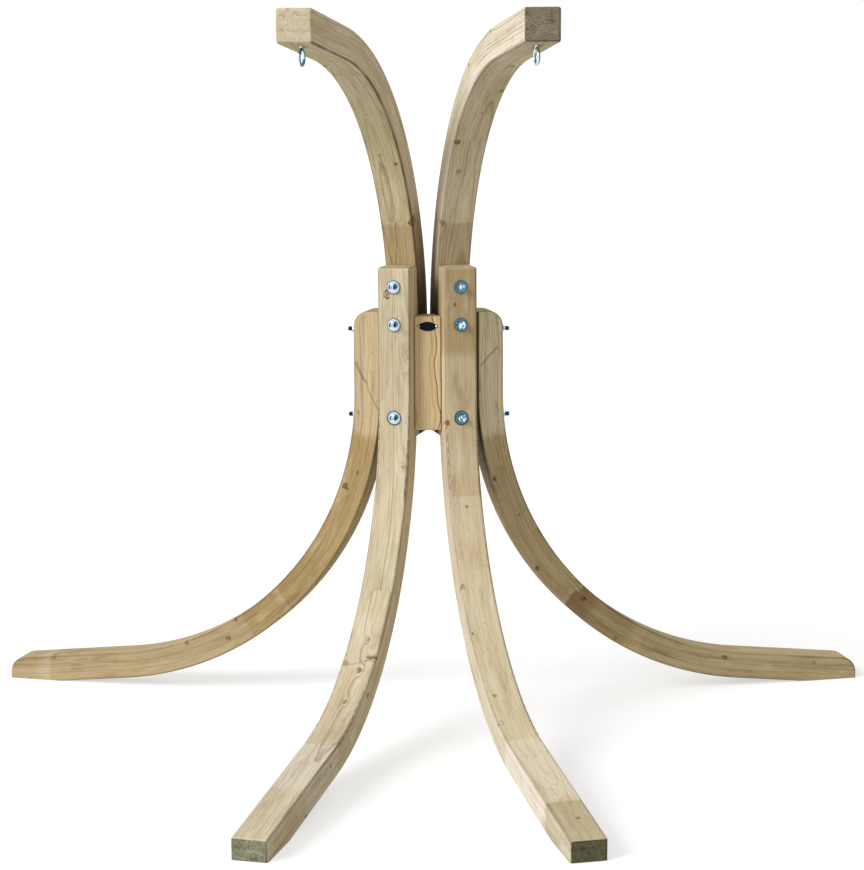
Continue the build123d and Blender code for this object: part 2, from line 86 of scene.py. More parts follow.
class Nodes:
    """Shader arithmetic in one node tree."""

    def __init__(self, tree):
        self.tree = tree

    def node(self, kind, **settings):
        made = self.tree.nodes.new(kind)
        for setting, value in settings.items():
            setattr(made, setting, value)
        return made

    def feed(self, socket, value):
        """Links a socket, or writes a plain number, vector or colour in it."""
        if isinstance(value, bpy.types.NodeSocket):
            self.tree.links.new(value, socket)
        elif value is not None:
            socket.default_value = value

    def number(self, operation, *values):
        made = self.node("ShaderNodeMath", operation=operation)
        for socket, value in zip(made.inputs, values):
            self.feed(socket, value)
        return made.outputs[0]

    def add(self, *values):
        total = values[0]
        for value in values[1:]:
            total = self.number("ADD", total, value)
        return total

    def times(self, *values):
        product = values[0]
        for value in values[1:]:
            product = self.number("MULTIPLY", product, value)
        return product

    def minus(self, a, b):
        return self.number("SUBTRACT", a, b)

    def larger(self, a, b):
        return self.number("MAXIMUM", a, b)

    def absolute(self, value):
        return self.number("ABSOLUTE", value)

    def length(self, a, b):
        """Length of the diagonal of a and b."""
        return self.number("SQRT", self.add(self.times(a, a), self.times(b, b)))

    def clamp(self, value, low, high):
        return self.larger(self.number("MINIMUM", value, high), low)

    def step(self, value, low, high):
        """0 below low, 1 above high, smooth between. low may lie above high."""
        made = self.node("ShaderNodeMapRange", interpolation_type="SMOOTHSTEP")
        for socket, item in zip(made.inputs, (value, low, high, 0.0, 1.0)):
            self.feed(socket, item)
        return made.outputs[0]

    def dot(self, a, direction):
        made = self.node("ShaderNodeVectorMath", operation="DOT_PRODUCT")
        self.feed(made.inputs[0], a)
        self.feed(made.inputs[1], direction)
        return made.outputs["Value"]

    def vector(self, x, y, z):
        made = self.node("ShaderNodeCombineXYZ")
        for socket, value in zip(made.inputs, (x, y, z)):
            self.feed(socket, value)
        return made.outputs[0]

    def noise(self, place, scale=1.0, detail=2.0, roughness=0.5):
        made = self.node("ShaderNodeTexNoise")
        self.feed(made.inputs["Vector"], place)
        made.inputs["Scale"].default_value = scale
        made.inputs["Detail"].default_value = detail
        made.inputs["Roughness"].default_value = roughness
        return made.outputs["Fac"]

    def sway(self, place, scale=1.0, detail=2.0):
        """Noise about zero."""
        return self.minus(self.noise(place, scale, detail), 0.5)

    def chance(self, value):
        """Three fixed random numbers for each whole value."""
        made = self.node("ShaderNodeTexWhiteNoise", noise_dimensions="1D")
        self.feed(made.inputs["W"], value)
        channels = self.node("ShaderNodeSeparateColor")
        self.feed(channels.inputs[0], made.outputs["Color"])
        return channels.outputs[0], channels.outputs[1], channels.outputs[2]

    def blend(self, share, first, second, how="MIX"):
        made = self.node("ShaderNodeMix", data_type="RGBA", blend_type=how)
        self.feed(made.inputs[0], share)
        self.feed(made.inputs[6], first)
        self.feed(made.inputs[7], second)
        return made.outputs[2]


class Material(Nodes):
    """A new material whose shader is fed by this arithmetic."""

    def __init__(self, name):
        self.made = bpy.data.materials.new(name)
        self.made.use_nodes = True
        super().__init__(self.made.node_tree)
        self.shader = self.tree.nodes["Principled BSDF"]
        self.place = self.node("ShaderNodeTexCoord").outputs["Object"]

    def normal(self, kind="Normal"):
        return self.node("ShaderNodeNewGeometry").outputs[kind]

    def bump(self, height, strength, distance):
        made = self.node("ShaderNodeBump")
        made.inputs["Strength"].default_value = strength
        made.inputs["Distance"].default_value = distance
        self.feed(made.inputs["Height"], height)
        self.feed(self.shader.inputs["Normal"], made.outputs[0])

    def finish(self, tint, roughness, specular=None, metallic=None):
        """Sets the shader's colour and gloss. None leaves a socket at its default."""
        self.feed(self.shader.inputs["Base Color"], tint)
        self.feed(self.shader.inputs["Roughness"], roughness)
        self.feed(self.shader.inputs["Specular IOR Level"], specular)
        self.feed(self.shader.inputs["Metallic"], metallic)
        return self.made


def colour(red, green, blue):
    """A linear colour from 8-bit screen values."""

    def linear(value):
        share = value / 255
        return share / 12.92 if share <= 0.04045 else ((share + 0.055) / 1.055) ** 2.4

    return linear(red), linear(green), linear(blue), 1.0


# ---------------------------------------------------------------- places on the stand
def hub_plane(side):
    """The hub's corner and its two directions on one side: forward and outward."""
    hub = Vector((side * HUB_HALF_GAP, HUB_Y, 0.0))
    forward = Vector((side * sin(PLANE_ANGLE), -cos(PLANE_ANGLE), 0.0))
    outward = Vector((side * cos(PLANE_ANGLE), sin(PLANE_ANGLE), 0.0))
    return hub, forward, outward


def beam_place(m, side, beam):
    """Where a point lies in a bent beam and which of the beam's faces it is on.

    along, deep and wide run along it, across its laminations and across its width. end, flat and
    front say how squarely the face looks along the beam, along its width and out of its bend.
    """
    hub, forward, outward = hub_plane(side)
    bending, level = (outward, forward) if beam["outward"] else (forward, outward)
    radius, turn = beam["radius"], beam["turn"]
    upright = (0.0, 0.0, turn)
    run = m.minus(m.dot(m.place, bending), hub.dot(bending) + beam["start"])
    wide = m.minus(m.dot(m.place, level), hub.dot(level) + beam["middle"])
    rise = m.minus(m.dot(m.place, upright), turn * beam["bend_height"])
    angle = m.number("ARCTAN2", rise, m.minus(radius, run))
    angle = m.clamp(angle, 0.0, beam["angle"])
    sine, cosine = m.number("SINE", angle), m.number("COSINE", angle)
    past_run = m.minus(run, m.minus(radius, m.times(cosine, radius)))
    past_rise = m.minus(rise, m.times(sine, radius))
    normal = m.normal("True Normal")
    to_bend, to_top = m.dot(normal, bending), m.dot(normal, upright)
    return SimpleNamespace(
        along=m.add(m.times(angle, radius), m.times(past_run, sine), m.times(past_rise, cosine)),
        deep=m.minus(m.times(past_run, cosine), m.times(past_rise, sine)),
        wide=wide,
        end=m.absolute(m.add(m.times(to_bend, sine), m.times(to_top, cosine))),
        flat=m.absolute(m.dot(normal, level)),
        front=m.minus(m.times(to_bend, cosine), m.times(to_top, sine)),
    )


def on_face(at, face):
    """A point's place across a bent face or a flat side, and how far out it lies."""
    return (at.wide, at.deep) if face == "bent" else (at.deep, at.wide)


def from_front_bolt(m, side):
    """A point's place beside and above the nearest front bolt's axis on one side."""
    hub, _, outward = hub_plane(side)
    beside = m.minus(m.dot(m.place, outward), hub.dot(outward) + FRONT_LEG["middle"])
    height = m.dot(m.place, (0.0, 0.0, 1.0))
    nearest = FRONT_BOLT_HEIGHTS[0]
    for below, above in zip(FRONT_BOLT_HEIGHTS, FRONT_BOLT_HEIGHTS[1:]):
        past = m.number("GREATER_THAN", height, (below + above) / 2)
        nearest = m.add(nearest, m.times(past, above - below))
    return beside, m.minus(height, nearest)


# ---------------------------------------------------------------- timber
JOINT_STAGGER = 0.21  # the finger joints move on by this from layer to layer
FINGER_LENGTH = 0.010
END_RIM = 0.008  # width of the dirty rim round a sawn end
KNOT_HEART, KNOT_BARK = colour(134, 97, 58), colour(70, 48, 30)
CRACK, GLUE = colour(92, 66, 36), colour(110, 88, 58)
# Painted shade: along the rounded arrises, and in the gaps and slots near the hub.
RUBBED, DIRT = colour(92, 72, 44), colour(34, 26, 16)


def knot(along, across, radius, face="bent", side=1, heart=0.6, bark=0.6):
    """A knot that shows on a bent face or on a flat side, measured along and across that face."""
    return dict(
        along=along, across=across, radius=radius, face=face, side=side, heart=heart, bark=bark
    )


def add_knots(m, at, knots, reach):
    """Grows the rings round each knot. Returns the rings' field, the knots' hearts and their bark."""
    heart, bark = 0.0, 0.0
    uneven = m.times(m.sway(m.place, scale=130.0, detail=2), 0.9)
    broken = m.step(m.noise(m.place, scale=90.0, detail=1), 0.42, 0.56)
    for item in knots:
        across, outer = on_face(at, item["face"])
        covered = m.times(m.step(m.times(outer, item["side"]), 0.016, 0.008), 60.0)
        d_along = m.times(m.minus(at.along, item["along"]), 1.0 / item["radius"])
        d_across = m.times(m.minus(across, item["across"]), 1.0 / item["radius"])
        along_squared, across_squared = m.times(d_along, d_along), m.times(d_across, d_across)
        flame = m.add(m.times(along_squared, 0.09), m.times(across_squared, 0.4), covered)
        reach = m.add(reach, m.number("DIVIDE", 1.5 * item["radius"], m.add(1.0, flame)))
        core = m.add(m.times(along_squared, 0.6), across_squared, covered)
        distance = m.add(m.number("SQRT", core), uneven)
        heart = m.larger(heart, m.times(m.step(distance, 1.25, 0.5), item["heart"]))
        ring = m.times(m.step(distance, 1.35, 1.05), m.step(distance, 0.6, 0.95))
        bark = m.larger(bark, m.times(ring, broken, item["bark"]))
    return reach, heart, bark


def split(start, end, bow=0.0, face="bent", strength=0.55, width=0.0016):
    """A split or resin streak between two points of a face, each given along and across it."""
    return dict(start=start, end=end, bow=bow, face=face, strength=strength, width=width)


def split_lines(m, at, splits):
    """How dark the splits are here."""
    wobble = m.times(m.sway(m.place, scale=45.0, detail=3), 0.006)
    total = 0.0
    for item in splits:
        across, outer = on_face(at, item["face"])
        (start_along, start_across), (end_along, end_across) = item["start"], item["end"]
        run, rise = end_along - start_along, end_across - start_across
        length = sqrt(run * run + rise * rise)
        d_along, d_across = m.minus(at.along, start_along), m.minus(across, start_across)
        share = m.add(m.times(d_along, run / length**2), m.times(d_across, rise / length**2))
        offset = m.minus(m.times(d_across, run / length), m.times(d_along, rise / length))
        arch = m.times(share, m.minus(1.0, share), 4.0 * item["bow"])
        offset = m.absolute(m.add(m.minus(offset, arch), wobble))
        inside = m.step(m.absolute(m.minus(share, 0.5)), 0.50, 0.44)
        inside = m.times(inside, m.step(outer, 0.008, 0.016))
        close = m.step(offset, item["width"] * 1.4, item["width"] * 0.3)
        total = m.larger(total, m.times(close, inside, item["strength"]))
    return total


def ring_lines(m, reach, spacing, seed):
    """Dark summer growth: strong in some rings, faint in others. Also each ring's own tone."""
    rings = m.times(reach, 1 / spacing)
    ring = m.number("FRACT", rings)
    vigour, tone, _ = m.chance(m.add(m.number("FLOOR", rings), seed * 11.0))
    late = m.times(m.step(ring, 0.48, 0.90), m.step(ring, 1.0, 0.94))
    return m.times(late, m.add(0.28, m.times(vigour, vigour, 0.9))), tone


def glued_boards(m, at, depth, joints, seed):
    """The whole number of the glued board a point is in, and the point's depth in its layer."""
    layer_depth = depth / LAMINATIONS
    layer = m.number("FLOOR", m.add(m.times(at.deep, 1 / layer_depth), LAMINATIONS / 2))
    layer = m.clamp(layer, 0.0, LAMINATIONS - 1.0)
    shifted = m.add(at.along, m.times(m.minus(LAMINATIONS - 1.0, layer), JOINT_STAGGER))
    jagged = m.noise(m.vector(seed, m.times(at.wide, 260), m.times(at.deep, 60)), detail=1)
    shifted = m.add(shifted, m.times(jagged, FINGER_LENGTH))
    number = m.times(layer, 9.0)
    for joint in joints:
        number = m.add(number, m.number("GREATER_THAN", shifted, joint + FINGER_LENGTH / 2))
    return number, m.minus(at.deep, m.times(m.minus(layer, 1.0), layer_depth))


def pith_distance(m, at, board_number, in_layer, chances, seed, look):
    """Distance from the board's pith, which wanders as the tree grew."""
    side, depth, spread = chances
    slow = m.vector(m.times(at.along, 1.3), m.times(board_number, 3.1), seed)
    faster = m.vector(m.times(at.along, 1.5), m.times(board_number, 5.3), seed + 4.0)
    drift, sway = m.sway(slow, detail=1.5), m.sway(faster, detail=1.5)
    below = m.minus(m.times(m.number("GREATER_THAN", side, 0.5), 2.0), 1.0)
    lean = m.times(at.along, look["taper"])
    depth = m.add(0.026, m.times(depth, 0.018), m.times(drift, look["drift"]), lean)
    spread = m.times(m.minus(spread, 0.5), 0.050)
    centre = m.add(spread, m.times(sway, 0.64 * look["drift"]), look["pith"])
    reach = m.length(m.minus(in_layer, m.times(below, depth)), m.minus(at.wide, centre))
    ripple = m.vector(m.times(at.along, 6), m.times(at.deep, 40), m.times(at.wide, 40))
    return m.add(reach, m.times(m.sway(ripple, detail=3), look["ripple"]))


def grain_noises(m, at, board_number, seed):
    """Noises drawn out along the grain, different in each board, and specks of dirt."""

    def grain(stretch, fineness, detail=3.0, roughness=0.55):
        place = m.vector(
            m.add(m.times(at.along, stretch), m.times(board_number, 7.7)),
            m.times(at.deep, fineness),
            m.add(m.times(at.wide, fineness), seed * 2.3),
        )
        return m.noise(place, detail=detail, roughness=roughness)

    return SimpleNamespace(
        fibre=grain(9, 260),
        streak=grain(1.8, 46),
        stain=grain(4.0, 12, detail=4.0),
        moss=grain(2.2, 6),
        mottle=grain(7.0, 34, detail=5.0, roughness=0.65),
        pit=m.step(grain(30, 260, detail=2.0), 0.68, 0.76),
        speck=m.step(m.noise(m.place, scale=75.0, detail=2), 0.72, 0.76),
    )


def treated_wood(m, at, grain, late, tone, board_tone, look):
    """Colour of the long faces before knots and wear."""
    pale, line, warm = look["pale"], look["line"], look["warm"]
    wood = m.blend(m.times(m.step(grain.moss, 0.38, 0.66), look["greening"]), pale, look["green"])
    wood = m.blend(m.times(m.step(grain.stain, 0.46, 0.68), look["staining"]), wood, warm)
    wood = m.blend(m.times(m.minus(tone, 0.1), 0.20), wood, warm)
    wood = m.blend(m.times(board_tone, look["board_change"]), wood, warm)
    wavy = m.add(at.along, m.times(m.minus(grain.stain, 0.5), 0.04))
    for start, end, tint, strength in look["zones"]:
        begun, ended = m.step(wavy, start - 0.004, start + 0.004), m.step(wavy, end + 0.02, end - 0.02)
        wood = m.blend(m.times(begun, ended, strength), wood, tint)
    marks = (
        (m.step(grain.streak, 0.45, 0.70), look["streaks"], line),
        (late, look["contrast"], line),
        (m.step(grain.fibre, 0.46, 0.74), look["fibres"], line),
        (m.larger(grain.pit, grain.speck), 0.45, line),
        (m.step(grain.mottle, 0.52, 0.74), look["mottling"], line),
        (m.step(grain.mottle, 0.46, 0.28), look["mottling"], look["bleached"]),
    )
    for share, strength, tint in marks:
        wood = m.blend(m.times(share, strength), wood, tint)
    return wood


def handled(m, at, wood, stain, look):
    """The wood with painted light and shade by face direction, partly the faces' own tones, painted
    shade along the arrises and painted shade in the gaps near the hub.
    """
    # Painted light and shade by face direction, with some of the faces' own tone.
    flat, front = m.step(at.flat, 0.6, 0.95), m.step(at.front, 0.6, 0.95)
    wood = m.blend(flat, wood, look["flat_tone"], how="MULTIPLY")
    wood = m.blend(front, wood, look["front_tone"], how="MULTIPLY")
    # Painted shade along the rounded arrises, made patchy.
    arris = m.times(m.step(at.flat, 0.25, 0.5), m.step(at.front, 0.10, 0.35))
    patchy = m.add(0.55, m.times(m.step(stain, 0.35, 0.65), 0.45))
    wood = m.blend(m.times(arris, patchy, look["arris"]), wood, RUBBED)
    # Painted shade in the gaps and slots near the hub, fading away from the hub end.
    for axis, full, none, low, high, strength in look["grime"]:
        close = m.step(at.wide if axis == "wide" else at.deep, none, full)
        close = m.times(close, m.step(at.along, high, low))
        wood = m.blend(m.times(close, strength), wood, DIRT)
    return wood


def sawn_end(m, at, grain, late, depth, look):
    """The end faces: arcs of rings, rough speckles and a dirty rim."""
    line, speckled = look["line"], look["end_speckle"]
    sawn = m.blend(grain.moss, look["pale"], look["green"])
    speckle = m.step(m.noise(m.place, scale=190.0, detail=5, roughness=0.75), 0.40, 0.72)
    deep_rim = m.step(m.absolute(at.deep), depth / 2 - END_RIM, depth / 2)
    wide_rim = m.step(m.absolute(at.wide), BEAM_WIDTH / 2 - END_RIM, BEAM_WIDTH / 2)
    rim = m.times(m.larger(deep_rim, wide_rim), m.step(grain.moss, 0.30, 0.55))
    marks = (
        (late, look["end_rings"], line),
        (speckle, speckled, line),
        (m.step(grain.mottle, 0.54, 0.68), speckled, line),
        (m.step(grain.mottle, 0.46, 0.34), 0.6 * speckled, colour(250, 246, 232)),
        (rim, look["end_rim"], colour(60, 48, 32)),
    )
    for share, strength, tint in marks:
        sawn = m.blend(m.times(share, strength), sawn, tint)
    tint = m.blend(m.number("LESS_THAN", at.along, 0.0), look["far_end"], look["top_end"])
    return m.blend(1.0, sawn, tint, how="MULTIPLY")


def spruce(name, side, beam, seed, look):
    """Glued, pressure-treated spruce with its rings, boards, knots, glue lines and sawn ends."""
    m = Material(name)
    at = beam_place(m, side, beam)
    board_number, in_layer = glued_boards(m, at, beam["depth"], look["joints"], seed)
    chances = m.chance(m.add(board_number, seed * 37.0))
    reach = pith_distance(m, at, board_number, in_layer, chances, seed, look)
    reach, heart, bark = add_knots(m, at, look["knots"], reach)
    late, tone = ring_lines(m, reach, look["ring"], seed)
    grain = grain_noises(m, at, board_number, seed)
    wood = treated_wood(m, at, grain, late, tone, chances[1], look)
    crack = split_lines(m, at, look["splits"])
    seam = m.absolute(m.minus(m.absolute(at.deep), beam["depth"] / LAMINATIONS / 2))
    seam = m.step(seam, 0.0009, 0.0003)
    for share, tint in (
        (heart, KNOT_HEART), (bark, KNOT_BARK), (crack, CRACK), (m.times(seam, 0.28), GLUE)
    ):
        wood = m.blend(share, wood, tint)
    wood = handled(m, at, wood, grain.stain, look)
    sawn = sawn_end(m, at, grain, late, beam["depth"], look)
    wood = m.blend(m.step(at.end, 0.62, 0.86), wood, sawn)
    raised = m.add(m.times(late, 0.6), m.times(grain.fibre, 0.5))
    m.bump(m.add(raised, m.times(seam, -1.0), m.times(grain.pit, -0.8)), 0.6, 0.0008)
    return m.finish(wood, roughness=0.74, specular=0.25)


def board(name, seed, look):
    """Solid sawn spruce, its grain upright, with painted shade at the hub block's sides and over the
    packers beyond its width.
    """
    m = Material(name)
    axes = m.node("ShaderNodeSeparateXYZ")
    m.feed(axes.inputs[0], m.place)
    x, y, z = axes.outputs
    sway = m.sway(m.vector(seed, m.times(z, 6.5), 1.0), detail=2)
    ripple = m.sway(m.vector(m.times(z, 11.0), m.times(x, 30), m.times(y, 30)), detail=3)
    off_x = m.add(x, -0.03, m.times(sway, 0.05), m.times(z, 0.05), m.times(ripple, 0.010))
    reach = m.length(off_x, m.minus(y, HUB_Y - 0.10))
    at = SimpleNamespace(along=z, deep=y, wide=x)
    reach, heart, bark = add_knots(m, at, look["knots"], reach)
    late, tone = ring_lines(m, reach, look["ring"], seed)
    fibre = m.noise(m.vector(m.times(x, 300), m.times(y, 300), m.times(z, 9)), detail=3)
    wood = m.blend(m.times(tone, 0.45), look["pale"], look["warm"])
    for share, tint in (
        (m.times(late, look["contrast"]), look["line"]),
        (m.times(m.step(fibre, 0.46, 0.76), look["fibres"]), look["line"]),
        (heart, colour(120, 80, 44)),
        (bark, colour(64, 42, 26)),
        # Painted shade at the block's sides and over the packers that lie beyond its width.
        (m.times(m.step(m.absolute(x), 0.0365, 0.0400), 0.7), colour(40, 28, 16)),
    ):
        wood = m.blend(share, wood, tint)
    m.bump(m.add(late, fibre), 0.4, 0.0005)
    return m.finish(wood, roughness=0.7, specular=0.25)


# ---------------------------------------------------------------- metal
def zinc(name, main, other, patches=0.0, stripes=0.0, rim=None, glint=None):
    """Passivated zinc plate with painted reflections: another colour in patches, or painted dark
    reflection on its right-facing sides.

    rim names the side whose front washers take the other colour round their edge as painted shade,
    glint the side whose front nuts take it beside and above their middle as painted dark reflections.
    """
    m = Material(name)
    cloud = m.noise(m.place, scale=150.0, detail=1)
    # Patches of the other colour: painted reflections, light and dark.
    patch = m.times(m.step(cloud, 0.47, 0.53), patches)
    # Painted dark reflection on the sides that face right.
    stripe = m.times(m.step(m.dot(m.normal(), (0.94, -0.34, 0.0)), 0.30, 0.62), stripes)
    share = m.larger(m.larger(patch, stripe), m.times(cloud, 0.12))
    if rim or glint:
        beside, above = from_front_bolt(m, rim or glint)
        away = m.length(beside, above)
    # Painted shade round the front washers' edge.
    if rim:
        share = m.larger(share, m.step(away, 0.0155, 0.0178))
    # Painted dark reflections on the front nuts and bolt tails, beside and above their middle.
    if glint:
        cheeks = m.step(m.absolute(beside), 0.0028, 0.0048)
        cheeks = m.times(cheeks, m.step(above, -0.0070, -0.0035))
        dark = m.larger(cheeks, m.step(away, 0.0026, 0.0016))
        share = m.larger(share, m.times(dark, 0.96))
    roughness = m.add(0.16, m.times(cloud, 0.12))
    return m.finish(m.blend(share, main, other), roughness, metallic=1.0)


def enamel():
    """Dark navy enamel of the blank plate, with a painted highlight on its edge."""
    m = Material("dark_blue_enamel")
    facing = m.absolute(m.dot(m.normal(), (0, 1, 0)))
    # The edge faces are painted pale as a highlight.
    shade = m.blend(m.step(facing, 0.9, 0.5), colour(3, 7, 22), colour(214, 218, 214))
    return m.finish(shade, roughness=0.5, specular=0.12)


def dress(node, material):
    """Gives every slot of a CAD node one material."""
    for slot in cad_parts[node].material_slots:
        slot.material = material


# ---------------------------------------------------------------- the looks of the nodes
LEFT, RIGHT = -1, 1
PLAIN = (1.0, 1.0, 1.0, 1.0)
# The timbers' common look. Shares are from 0 to 1 and measures in metres along and across a beam.
# A zone is start, end, tint and strength. Painted shade in the gaps and slots near the hub is given as
# the direction across, where it is full and where it ends, how far along the beam it is full and where
# it ends, and its strength.
COMMON = dict(
    pale=colour(226, 214, 188), line=colour(136, 112, 74), warm=colour(206, 184, 146),
    green=colour(202, 196, 164), greening=0.5, staining=0.4, board_change=0.25, contrast=0.70,
    streaks=0.20, fibres=0.30, ring=0.0052, ripple=0.0030, taper=0.026, joints=(0.45, 1.05),
    # The face tones paint light and shade by face direction, with some of the faces' own tone; the arris
    # strength paints shade along the rounded arrises.
    zones=(), knots=(), flat_tone=PLAIN, front_tone=PLAIN, arris=0.15, end_rings=1.0,
    top_end=colour(248, 246, 240), far_end=colour(186, 196, 190), mottling=0.30,
    bleached=colour(236, 228, 206), drift=0.055, pith=0.0, grime=(), splits=(), end_speckle=0.4,
    end_rim=0.6,
)


def timber(**changes):
    """The common look of the timber with these changes."""
    return {**COMMON, **changes}


